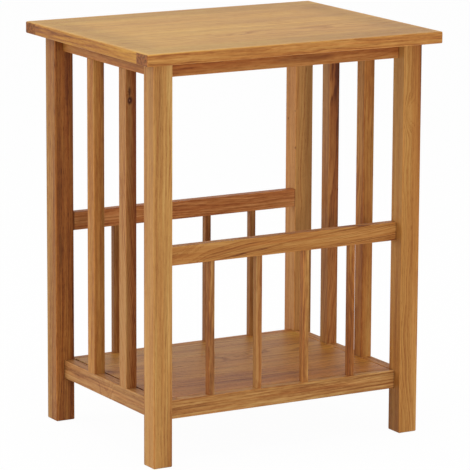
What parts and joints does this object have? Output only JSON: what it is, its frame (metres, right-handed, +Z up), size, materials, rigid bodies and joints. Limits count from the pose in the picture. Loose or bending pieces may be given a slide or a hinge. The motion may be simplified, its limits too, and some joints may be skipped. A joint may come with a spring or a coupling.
{
  "type": "magazine table with rack",
  "caption": "Square-legged oak side table with a framed overhanging top, slatted sides, a low shelf and spindle racks at front and back that keep magazines on the shelf.",
  "frame": {"origin": "on the floor, under the centre of the table", "axes": "+Z up, +X along the width towards the right-hand side, front towards -Y"},
  "size_m": [0.45, 0.35, 0.555],
  "materials": {
    "oak_frame": "satin lacquered oak",
    "oak_spindles": "satin lacquered oak",
    "oak_strips": "satin lacquered oak",
    "oak_top": "satin lacquered oak veneer",
    "oak_shelf": "satin lacquered oak veneer",
    "screw_steel": "plain zinc-plated"
  },
  "bodies": {
    "root": {"back_apron": "oak_frame", "back_lower_rail": "oak_frame", "back_rack_rail": "oak_frame", "back_spindle_1": "oak_spindles", "back_spindle_2": "oak_spindles", "back_spindle_3": "oak_spindles", "back_spindle_4": "oak_spindles", "front_apron": "oak_frame", "front_lower_rail": "oak_frame", "front_rack_rail": "oak_frame", "front_spindle_1": "oak_spindles", "front_spindle_2": "oak_spindles", "front_spindle_3": "oak_spindles", "front_spindle_4": "oak_spindles", "left_apron": "oak_frame", "left_lower_rail": "oak_frame", "left_slat_1": "oak_frame", "left_slat_2": "oak_frame", "leg_back_left": "oak_frame", "leg_back_right": "oak_frame", "leg_front_left": "oak_frame", "leg_front_right": "oak_frame", "right_apron": "oak_frame", "right_lower_rail": "oak_frame", "right_slat_1": "oak_frame", "right_slat_2": "oak_frame", "shelf_panel": "oak_shelf", "top_back_strip": "oak_strips", "top_front_strip": "oak_strips", "top_left_strip": "oak_strips", "top_panel": "oak_top", "top_right_strip": "oak_strips", "top_screws": "screw_steel"}
  },
  "joints": []
}
